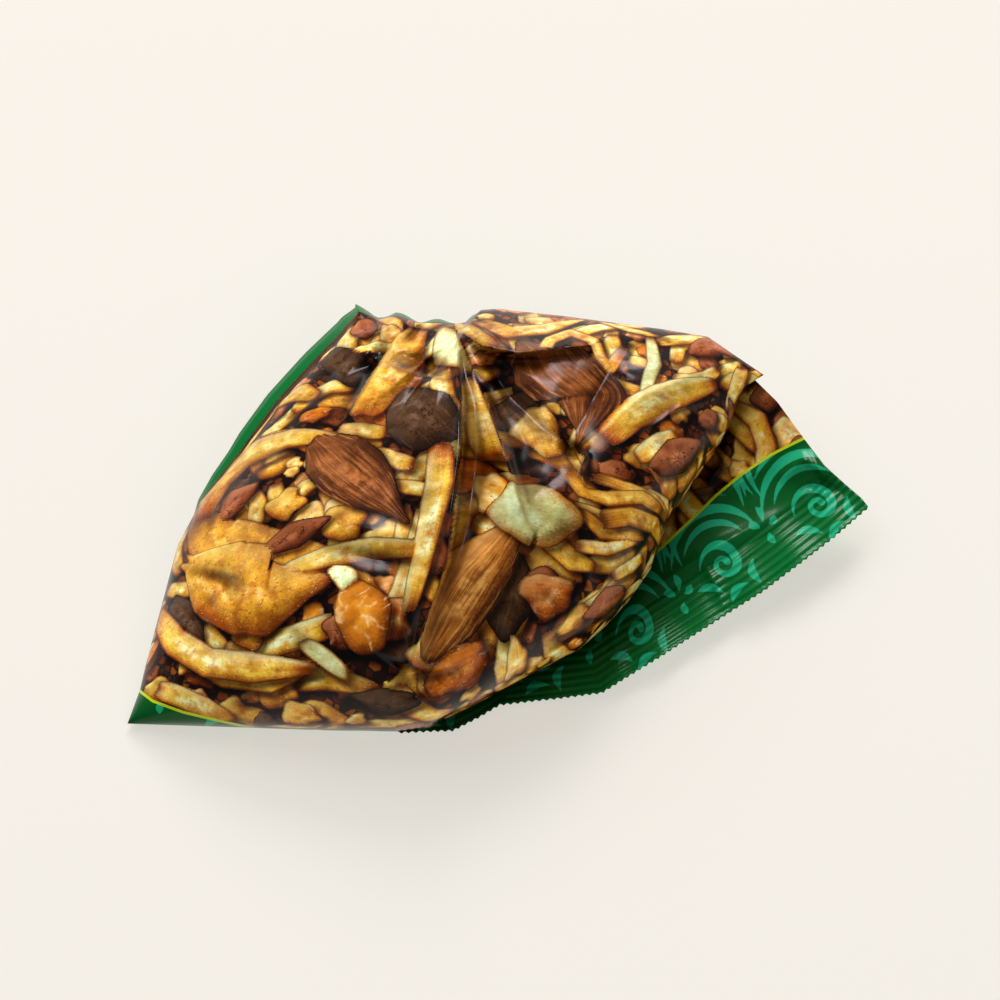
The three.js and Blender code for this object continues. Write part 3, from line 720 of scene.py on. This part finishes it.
recess_line = [(-5.5, 99), (-1, 88), (4, 76), (8, 66)]
recess_shade_width, bottom_shade_width = 8, 5
distance, is_left, t_along = nearest_on(recess_line, across, up)
recess_shade = np.exp(-((distance / recess_shade_width) ** 2)) * along([0.55, 0.75, 0.6, 0], t_along)
hollow = np.maximum(hollow, recess_shade * is_left * inside)
bottom_shade = 0.6 * np.exp(-nearest_on(bottom_edge[:5], across, up)[0] / bottom_shade_width)
hollow = np.maximum(hollow, bottom_shade) + ripple_painted_light_and_shade
edging_and_painted_shade = np.stack([past_line, hollow, past_scrolls(across + 110, up + 1)], axis=1)
plain_green = (30, 0, outside)
keep_vectors(pouch.data, "edging_and_painted_shade", edging_and_painted_shade, plain_green)


def paint(code):
    """A colour written as it looks on a screen, as the values that light is worked out with."""
    values = [int(code[i : i + 2], 16) / 255 for i in (1, 3, 5)]
    return [v / 12.92 if v <= 0.04045 else ((v + 0.055) / 1.055) ** 2.4 for v in values] + [1]


printed_film = bpy.data.materials.new("printed_film")
printed_film.use_nodes = True
tree = printed_film.node_tree
gloss = tree.nodes["Principled BSDF"]


def fill_in(socket, value):
    """Gives an input a number or a colour, or links it to another node's output."""
    if isinstance(value, bpy.types.NodeSocket):
        tree.links.new(value, socket)
    else:
        socket.default_value = value


def put(kind, *values, **settings):
    """A node with its settings and its first inputs."""
    node = tree.nodes.new(kind)
    for name, value in settings.items():
        setattr(node, name, value)
    for socket, value in zip([socket for socket in node.inputs if socket.enabled], values):
        fill_in(socket, value)
    return node


def calc(operation, *values):
    return put("ShaderNodeMath", *values, operation=operation).outputs[0]


def times(product, *others):
    for other in others:
        product = calc("MULTIPLY", product, other)
    return product


def parts(vector):
    return put("ShaderNodeSeparateXYZ", vector).outputs


def attribute(name):
    return put("ShaderNodeAttribute", attribute_name=name).outputs["Vector"]


def ease(value, low, high, at_low=0.0, at_high=1.0):
    """A smooth step from one value to another."""
    node = put("ShaderNodeMapRange", value, low, high, at_low, at_high, interpolation_type="SMOOTHSTEP")
    return node.outputs[0]


def mixed(share, a, b):
    """Two colours mixed."""
    return put("ShaderNodeMix", share, a, b, data_type="RGBA").outputs[2]


def swapped(share, a, b):
    """Two vectors, one or the other."""
    return put("ShaderNodeMix", share, a, b, data_type="VECTOR").outputs[1]


def noise(at, scale, detail, rough):
    node = put("ShaderNodeTexNoise")
    for name, value in (("Vector", at), ("Scale", scale), ("Detail", detail), ("Roughness", rough)):
        fill_in(node.inputs[name], value)
    return node.outputs[0]


def by_kind(code, colors):
    """A colour for each kind of piece."""
    node = put("ShaderNodeValToRGB", calc("DIVIDE", code, len(colors)))
    node.color_ramp.interpolation = "CONSTANT"
    stops = node.color_ramp.elements
    while len(stops) < len(colors):
        stops.new(1)
    for i in range(len(colors)):
        stops[i].position = i / len(colors)
    for stop, color in zip(stops, colors):
        stop.color = color
    return node.outputs[0]


film_at = attribute("film")
grit = noise(film_at, 1.6, 3, 0.65)
mottle = noise(film_at, 0.3, 2, 0.5)

# Crumbs at the bottom of the heap, with dark gaps between them
crumb_fineness = 0.42
crumb_colors = [paint(c) for c in ("#3C1404", "#6E2C0A", "#200C05", "#8A440E", "#501E06", "#1A0A04")]
crumbs = put("ShaderNodeTexVoronoi")
cracks = put("ShaderNodeTexVoronoi", feature="DISTANCE_TO_EDGE")
for node in (crumbs, cracks):
    fill_in(node.inputs["Vector"], film_at)
    fill_in(node.inputs["Scale"], crumb_fineness)
crumb_pick = calc("MULTIPLY", parts(crumbs.outputs["Color"])[0], len(crumb_colors))
color = by_kind(crumb_pick, crumb_colors)
color = mixed(ease(cracks.outputs["Distance"], 0.02, 0.16), paint("#1C0C06"), color)

# The topmost piece at each point, and the shade of the pieces above it
at_piece, look = attribute("place_0"), attribute("look_0")
wobble = times(calc("SUBTRACT", grit, 0.5), 0.5)
for number in range(layer_count):
    here, here_look = attribute(f"place_{number}"), attribute(f"look_{number}")
    on_it = calc("LESS_THAN", calc("ADD", parts(here)[2], wobble), 0)
    lit_here = ease(parts(here_look)[2], -0.4, 1.3, 0.14, 1)
    if number == 0:
        covered, light = on_it, calc("MAXIMUM", lit_here, on_it)
    else:
        covered = calc("MAXIMUM", covered, on_it)
        light = calc("MAXIMUM", times(light, lit_here), on_it)
        at_piece, look = swapped(on_it, at_piece, here), swapped(on_it, look, here_look)

# What it looks like there: paler in its middle than at its edge, lit from one side, with grain along it
lengthwise, crosswise, past_outline = parts(at_piece)
code, half_width, past_shaded = parts(look)
random = calc("FRACT", code)
inward = calc("DIVIDE", times(past_outline, -1), half_width)
inward = calc("ADD", inward, times(calc("SUBTRACT", grit, 0.5), 0.3))
core_share = ease(inward, 0.02, 0.4)
columns = list(zip(*kinds.values()))[:3]
middle_color, body_color, rim_color = (by_kind(code, [paint(c) for c in column]) for column in columns)
marks = {  # how strongly each kind shows grooves, brown specks, dark cracks, toasted patches and pale swirls
    "stick": (0.25, 0.7, 0, 0.45, 0), "crisp": (0.15, 0.9, 0.15, 0.55, 0), "almond": (1, 0, 0, 0.3, 0),
    "light almond": (0.9, 0, 0, 0.2, 0), "nut": (0.2, 0, 1, 0.3, 0), "lump": (0.3, 0, 1, 0.3, 0),
    "amber": (0.1, 0, 0.2, 0.4, 1), "grain": (0.3, 0.5, 0, 0.5, 0), "pale": (0.1, 0.5, 0.1, 0.15, 0),
    "orange": (0.3, 0.5, 0.5, 0.5, 0.3), "noodle": (0.4, 0.4, 0, 0.5, 0),
}
groove_mark, speck_mark, crack_mark = parts(by_kind(code, [(*marks[name][:3], 1) for name in kind_names]))
toast_mark, swirl_mark = parts(by_kind(code, [(*marks[name][3:], 0, 1) for name in kind_names]))[:2]
fresh = times(ease(random, 0.4, 0.85, 0, 0.75), speck_mark)
middle_color = mixed(fresh, middle_color, paint("#DCEBB0"))
piece = mixed(core_share, rim_color, body_color)
piece = mixed(times(ease(inward, 0.3, 0.8), ease(mottle, 0.35, 0.6)), piece, middle_color)

# Grooves and paler strands run along the piece
crosswise = calc("DIVIDE", crosswise, half_width)
spun = put("ShaderNodeCombineXYZ", times(lengthwise, 0.07), times(crosswise, 9), code)
strands = noise(spun.outputs[0], 1.0, 3, 0.75)
grooves = ease(strands, 0.48, 0.62)
bright_strands = ease(strands, 0.36, 0.46, 1, 0)
piece = mixed(times(grooves, groove_mark, 0.8), piece, rim_color)
piece = mixed(times(bright_strands, groove_mark, 0.8), piece, middle_color)

# Toasted patches, specks, cracks, swirls and glints, which differ from piece to piece
film_u, film_v = parts(film_at)[:2]
own_film = put("ShaderNodeCombineXYZ", film_u, film_v, times(code, 9)).outputs[0]
toast = ease(noise(own_film, 0.22, 2.5, 0.55), 0.47, 0.62)
piece = mixed(times(toast, toast_mark), piece, rim_color)
specks = ease(noise(own_film, 1.15, 2, 0.55), 0.61, 0.68)
piece = mixed(times(specks, speck_mark, 0.7), piece, paint("#8A4010"))
veins = noise(own_film, 0.2, 2.5, 0.55)
crack = ease(calc("ABSOLUTE", calc("SUBTRACT", veins, 0.5)), 0.003, 0.016, 1, 0)
piece = mixed(times(crack, crack_mark, 0.85), piece, paint("#2A0F06"))
swirl = ease(calc("SINE", times(noise(own_film, 0.14, 1.5, 0.5), 38)), 0.6, 1)
swirl = times(swirl, swirl_mark, ease(mottle, 0.45, 0.6, 0, 0.6))
piece = mixed(swirl, piece, paint("#FFD898"))
glints = ease(noise(own_film, 2.2, 0, 0.5), 0.78, 0.82)
piece = mixed(times(glints, speck_mark, 0.7), piece, paint("#FFF2D0"))

# The painted light: the side towards it is paler, the other side and the outline darker
lit_side = calc("DIVIDE", calc("SUBTRACT", past_shaded, past_outline), 1.2)
edge_share = calc("SUBTRACT", 1, ease(inward, 0.1, 0.75))
shine = times(calc("MAXIMUM", lit_side, 0), edge_share, 0.75)
piece = mixed(shine, piece, middle_color)
dim = calc("ADD", 1, times(calc("MINIMUM", lit_side, 0), edge_share, 0.75))
outline_shade = ease(calc("ADD", past_outline, wobble), -0.5, -0.05, 1, 0.3)
tone = times(dim, calc("ADD", 1.02, times(random, 0.34)), ease(mottle, 0.3, 0.7, 0.84, 1.12),
             ease(grit, 0.3, 0.7, 0.94, 1.06), outline_shade)
color = mixed(covered, color, piece)
tone = calc("ADD", times(covered, calc("SUBTRACT", tone, 1)), 1)
# The painted shade from the folds, the belly and the crimps, which darkens the print and the green alike
past_edging, painted_shade_amount, past_scroll = parts(attribute("edging_and_painted_shade"))
fold_shade = calc("SUBTRACT", 1, times(painted_shade_amount, 0.76))
tone = times(tone, light, fold_shade)
warm_tone = put("ShaderNodeCombineXYZ", *(calc("POWER", tone, power) for power in (0.95, 1.15, 1.6)))
toned = put("ShaderNodeVectorMath", color, warm_tone.outputs[0], operation="MULTIPLY")

# The green past the yellow line, with its scrollwork in a paler green
green = mixed(ease(past_edging, 6, 26), paint("#00581F"), paint("#007030"))
green = mixed(ease(past_scroll, -0.15, 0.15), paint("#18AC7A"), green)
line_start, line_end = -0.4, 0.3
edging_color = mixed(calc("GREATER_THAN", past_edging, line_end), paint("#C8DC1E"), green)
# The same painted shade on the green
shaded = put("ShaderNodeVectorMath", edging_color, operation="SCALE")
fill_in(shaded.inputs["Scale"], fold_shade)
color = mixed(calc("GREATER_THAN", past_edging, line_start), toned.outputs[0], shaded.outputs[0])
fill_in(gloss.inputs["Base Color"], color)
fill_in(gloss.inputs["Roughness"], 0.26)
fill_in(gloss.inputs["Specular IOR Level"], 0.12)
fill_in(gloss.inputs["Coat Weight"], 0.12)
fill_in(gloss.inputs["Coat Roughness"], 0.18)
pouch.data.materials.append(printed_film)

# ---- The end of the pouch ----------------------------------------------------------------------------------
# Below the belly the tube of film is empty and lies flat. Its two walls are pressed together between ribbed
# jaws, which leaves a seal of fine crimps along the end, and the end is cut in a zigzag.

# Lines on the drawing plane, each point with its height above the table
seal_cut = [
    (-26, -0.5, 1), (-12, 0, 1), (-5, 3.5, 1.2), (0, 6.5, 1.3), (14, 8, 1.8), (26, 9.5, 2.5), (41.5, 19, 4.5),
    (68, 35.5, 6.5), (86, 49, 8.5), (95.5, 57, 10),
]
end_side = [
    (95.5, 57, 10), (93.5, 59.5, 10.5), (89.5, 63, 11), (84, 68, 12), (78.8, 75, 13.5), (72, 84.5, 17),
    (63.5, 93, 19),
]
end_root = [
    (-26, 12, 1.3), (-5, 18, 1.4), (10, 25, 1.5), (22, 31, 2), (31, 42, 3.5), (37, 53, 5), (44, 63, 7),
    (52, 74, 10), (56, 83, 14.5), (63.5, 93, 19),
]
end_fold = [(-26, -0.5, 1), (-26, 12, 1.3)]
teeth = 75
tooth_depth, tooth_reach = 0.5, 2
seal_width, crimp_pitch, crimp_rise = 13.2, 1.9, 0.12
most_seal = 0.97  # the share of the end that the seal takes where the end is narrow
lowest = 0.5
film_thickness = 0.0003  # in metres, of both walls together
seal_rows, loose_rows = 56, 40

bpy.ops.object.select_all(action="DESELECT")
bpy.ops.mesh.primitive_grid_add(x_subdivisions=teeth * 4, y_subdivisions=seal_rows + loose_rows, size=1)
bottom_end = bpy.context.object
bottom_end.name = "bottom_end"
grid_place = vertex_places(bottom_end.data)
s = grid_place[:, 0] + 0.5
row = np.round((grid_place[:, 1] + 0.5) * (seal_rows + loose_rows))
end_width = np.linalg.norm((on_line(seal_cut, s) - on_line(end_root, s))[:, :2], axis=1)
seal_share = np.minimum(seal_width / end_width, most_seal)
t = np.where(row <= seal_rows, row / seal_rows * seal_share,
             seal_share + (row - seal_rows) / loose_rows * (1 - seal_share))
drawn = in_patch(seal_cut, end_root, end_fold, end_side, s, t)
from_cut = t * end_width
crimps = np.sin(2 * math.pi * from_cut / crimp_pitch) * (from_cut < seal_width)
end_height = drawn[:, 2] + crimp_rise * crimps

# The end waves a little along its cut, and has creases by the belly, at its corner and across its bends
loose = np.clip(from_cut / end_width, 0, 1)
end_height += 0.9 * np.sin(s * 17 + from_cut / 9) * (1 - loose) * along([0, 0.3, 1, 1], s)
end_height += 0.35 * np.sin(s * 61 + 1) * (1 - loose) ** 2
end_creases = {
    "corner fold": ([(72, 64), (79, 69), (87, 65)], [0, 2.6, 0], 2.5, 4.5),
    "corner valley": ([(76, 61), (83, 64), (90, 60)], [0, -2, 0], 2.5, 2.5),
    "corner lip": ([(80, 73), (83, 66), (82, 58)], [0, 1.6, 0], 2, 4),
    "inner ridge": ([(49, 54), (60, 62), (72, 70)], [0, 1.5, 0], 4, 3),
    "long ridge": ([(36, 34), (56, 47), (80, 60)], [0, 1.1, 0], 3, 2.5),
    "long valley": ([(34, 30), (54, 42), (78, 55)], [0, -0.9, 0], 2.5, 2.5),
    "seal bend": ([(58, 30), (55, 38), (50, 47)], [0, 1.3, 0], 5, 3),
    "second bend": ([(30, 12), (30, 20), (27, 27)], [0, 1.2, 0], 4, 4),
    "print pleat": ([(52, 61), (60, 72), (64, 81)], [0, 1.8, 0], 2.5, 5),
}
for crease in end_creases.values():
    end_height += crease_rise(crease, drawn[:, 0], drawn[:, 1])
into = on_line(end_root, s)[:, :2] - on_line(seal_cut, s)[:, :2]
into /= np.linalg.norm(into, axis=1)[:, None]
end_tooth = np.abs((s * teeth) % 1 - 0.5) * 2 * tooth_depth * np.clip(1 - from_cut / tooth_reach, 0, 1)
drawn[:, :2] += into * end_tooth[:, None]
end_across, end_up = drawn[:, 0], drawn[:, 1]
set_places(bottom_end.data, lift(end_across, end_up, np.maximum(end_height, lowest)))

# Its print: a corner of the picture, the yellow line, and green with scrollwork from there to the cut. It has
# painted shade beside the belly and under the pouch, and in the hollows of the crimps, with a painted
# highlight on their tops.
end_layers = new_layers(len(s))
fill_print(end_layers, drawn[:, :2], 34)
keep_layers(bottom_end.data, end_layers)
keep_vectors(bottom_end.data, "film", np.pad(drawn[:, :2], ((0, 0), (0, 1))))
end_line = [
    (-30, 16), (-5, 20), (20, 30), (41.6, 46.5), (49.4, 53.8), (55.9, 60.1), (62.4, 65.5), (70.2, 70.7),
    (78, 74.6), (86, 78),
]
above_end_line = 80
distance, is_left, _ = nearest_on(end_line, end_across, end_up)
past_line = np.where(is_left | (end_up > above_end_line), -distance, distance)
past_scroll_work = past_scrolls(s * line_length(np.array(seal_cut)[:, :2]), from_cut)
belly_edge = bottom_edge[3:] + right_edge[1:]
from_belly = nearest_on(belly_edge, end_across, end_up)[0]
# Painted shade beside the belly and under the pouch, and painted light and shade along the crimps
belly_shade = np.exp(-from_belly / 6.5) + 0.6 * np.exp(-(((end_across + 16) / 22) ** 2))
end_shade = np.clip(belly_shade - 0.25 * crimps, -0.2, 1)
keep_vectors(bottom_end.data, "edging_and_painted_shade", np.stack([past_line, end_shade, past_scroll_work], axis=1))
bottom_end.data.materials.append(printed_film)
bpy.ops.object.shade_smooth()
thickness = bottom_end.modifiers.new("thickness", "SOLIDIFY")
thickness.thickness = film_thickness
thickness.offset = -1
bpy.ops.object.modifier_apply(modifier="thickness")
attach(bottom_end, "root")
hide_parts("bag")

# ---- Floor, light and camera -------------------------------------------------------------------------------
# A plain warm white floor with no end in view, which glows a little so that the pouch's shadow on it stays
# light. The camera looks straight onto the drawing plane, as it did in the photo.

bpy.ops.object.select_all(action="DESELECT")
bpy.ops.mesh.primitive_plane_add(size=8, location=(0, 0, 0))
floor = bpy.context.object
floor.name = "floor"
floor_paint_and_glow = bpy.data.materials.new("floor_paint_and_glow")
floor_paint_and_glow.use_nodes = True
floor_look = floor_paint_and_glow.node_tree.nodes["Principled BSDF"]
floor_look.inputs["Base Color"].default_value = (0.36, 0.35, 0.32, 1)
# Its glow is painted light that keeps the pouch's shadow on the floor light
floor_look.inputs["Emission Color"].default_value = (0.93, 0.895, 0.82, 1)
floor_look.inputs["Emission Strength"].default_value = 0.6
floor_look.inputs["Roughness"].default_value = 0.95
floor_look.inputs["Specular IOR Level"].default_value = 0.1
floor.data.materials.append(floor_paint_and_glow)

scene = bpy.context.scene
scene.view_settings.view_transform = "Standard"
scene.world = bpy.data.worlds.new("studio")
scene.world.use_nodes = True
scene.world.node_tree.nodes["Background"].inputs["Color"].default_value = (1, 0.98, 0.96, 1)
scene.world.node_tree.nodes["Background"].inputs["Strength"].default_value = 0.2

# A large soft lamp stands behind the pouch on the left, so its shade falls to the lower right, and a weak one
# in front. Only the pinkish one behind is mirrored in the gloss, so its glare lies along the folds.
lamps = {  # where each lamp stands, its size in metres, its power in watts, and whether the gloss mirrors it
    "back_left": ((-1.6, 1.5, 2.4), 3.0, 54, False),
    "front_right": ((1.1, -1.7, 1.9), 1.6, 15, False),
    "glare": ((0.15, 2.0, 1.5), 1.0, 44, True),
}
for name, (place, size, power, mirrored) in lamps.items():
    lamp_data = bpy.data.lights.new(name, "AREA")
    lamp_data.size = size
    lamp_data.energy = power
    lamp_data.color = (1, 0.92, 0.93) if mirrored else (1, 1, 1)
    lamp = bpy.data.objects.new(name, lamp_data)
    scene.collection.objects.link(lamp)
    lamp.visible_glossy = mirrored
    lamp.location = place
    lamp.rotation_euler = (-lamp.location).to_track_quat("-Z", "Y").to_euler()

camera_distance = 2.2
frame_middle_up = 59.02  # the photo's middle on the drawing plane
frame_width = 0.26  # how much of that plane the photo shows from side to side, in metres
sensor_width = 36
middle = Vector(lift(0.0, frame_middle_up, 0.0))
camera_data = bpy.data.cameras.new("camera")
camera = bpy.data.objects.new("camera", camera_data)
scene.collection.objects.link(camera)
way = Vector((0, -math.cos(slope), math.sin(slope)))
camera.location = middle + way * camera_distance
camera.rotation_euler = (-way).to_track_quat("-Z", "Y").to_euler()
camera_data.sensor_width = sensor_width
camera_data.lens = sensor_width * camera_distance / frame_width
camera_data.clip_end = 20
scene.camera = camera
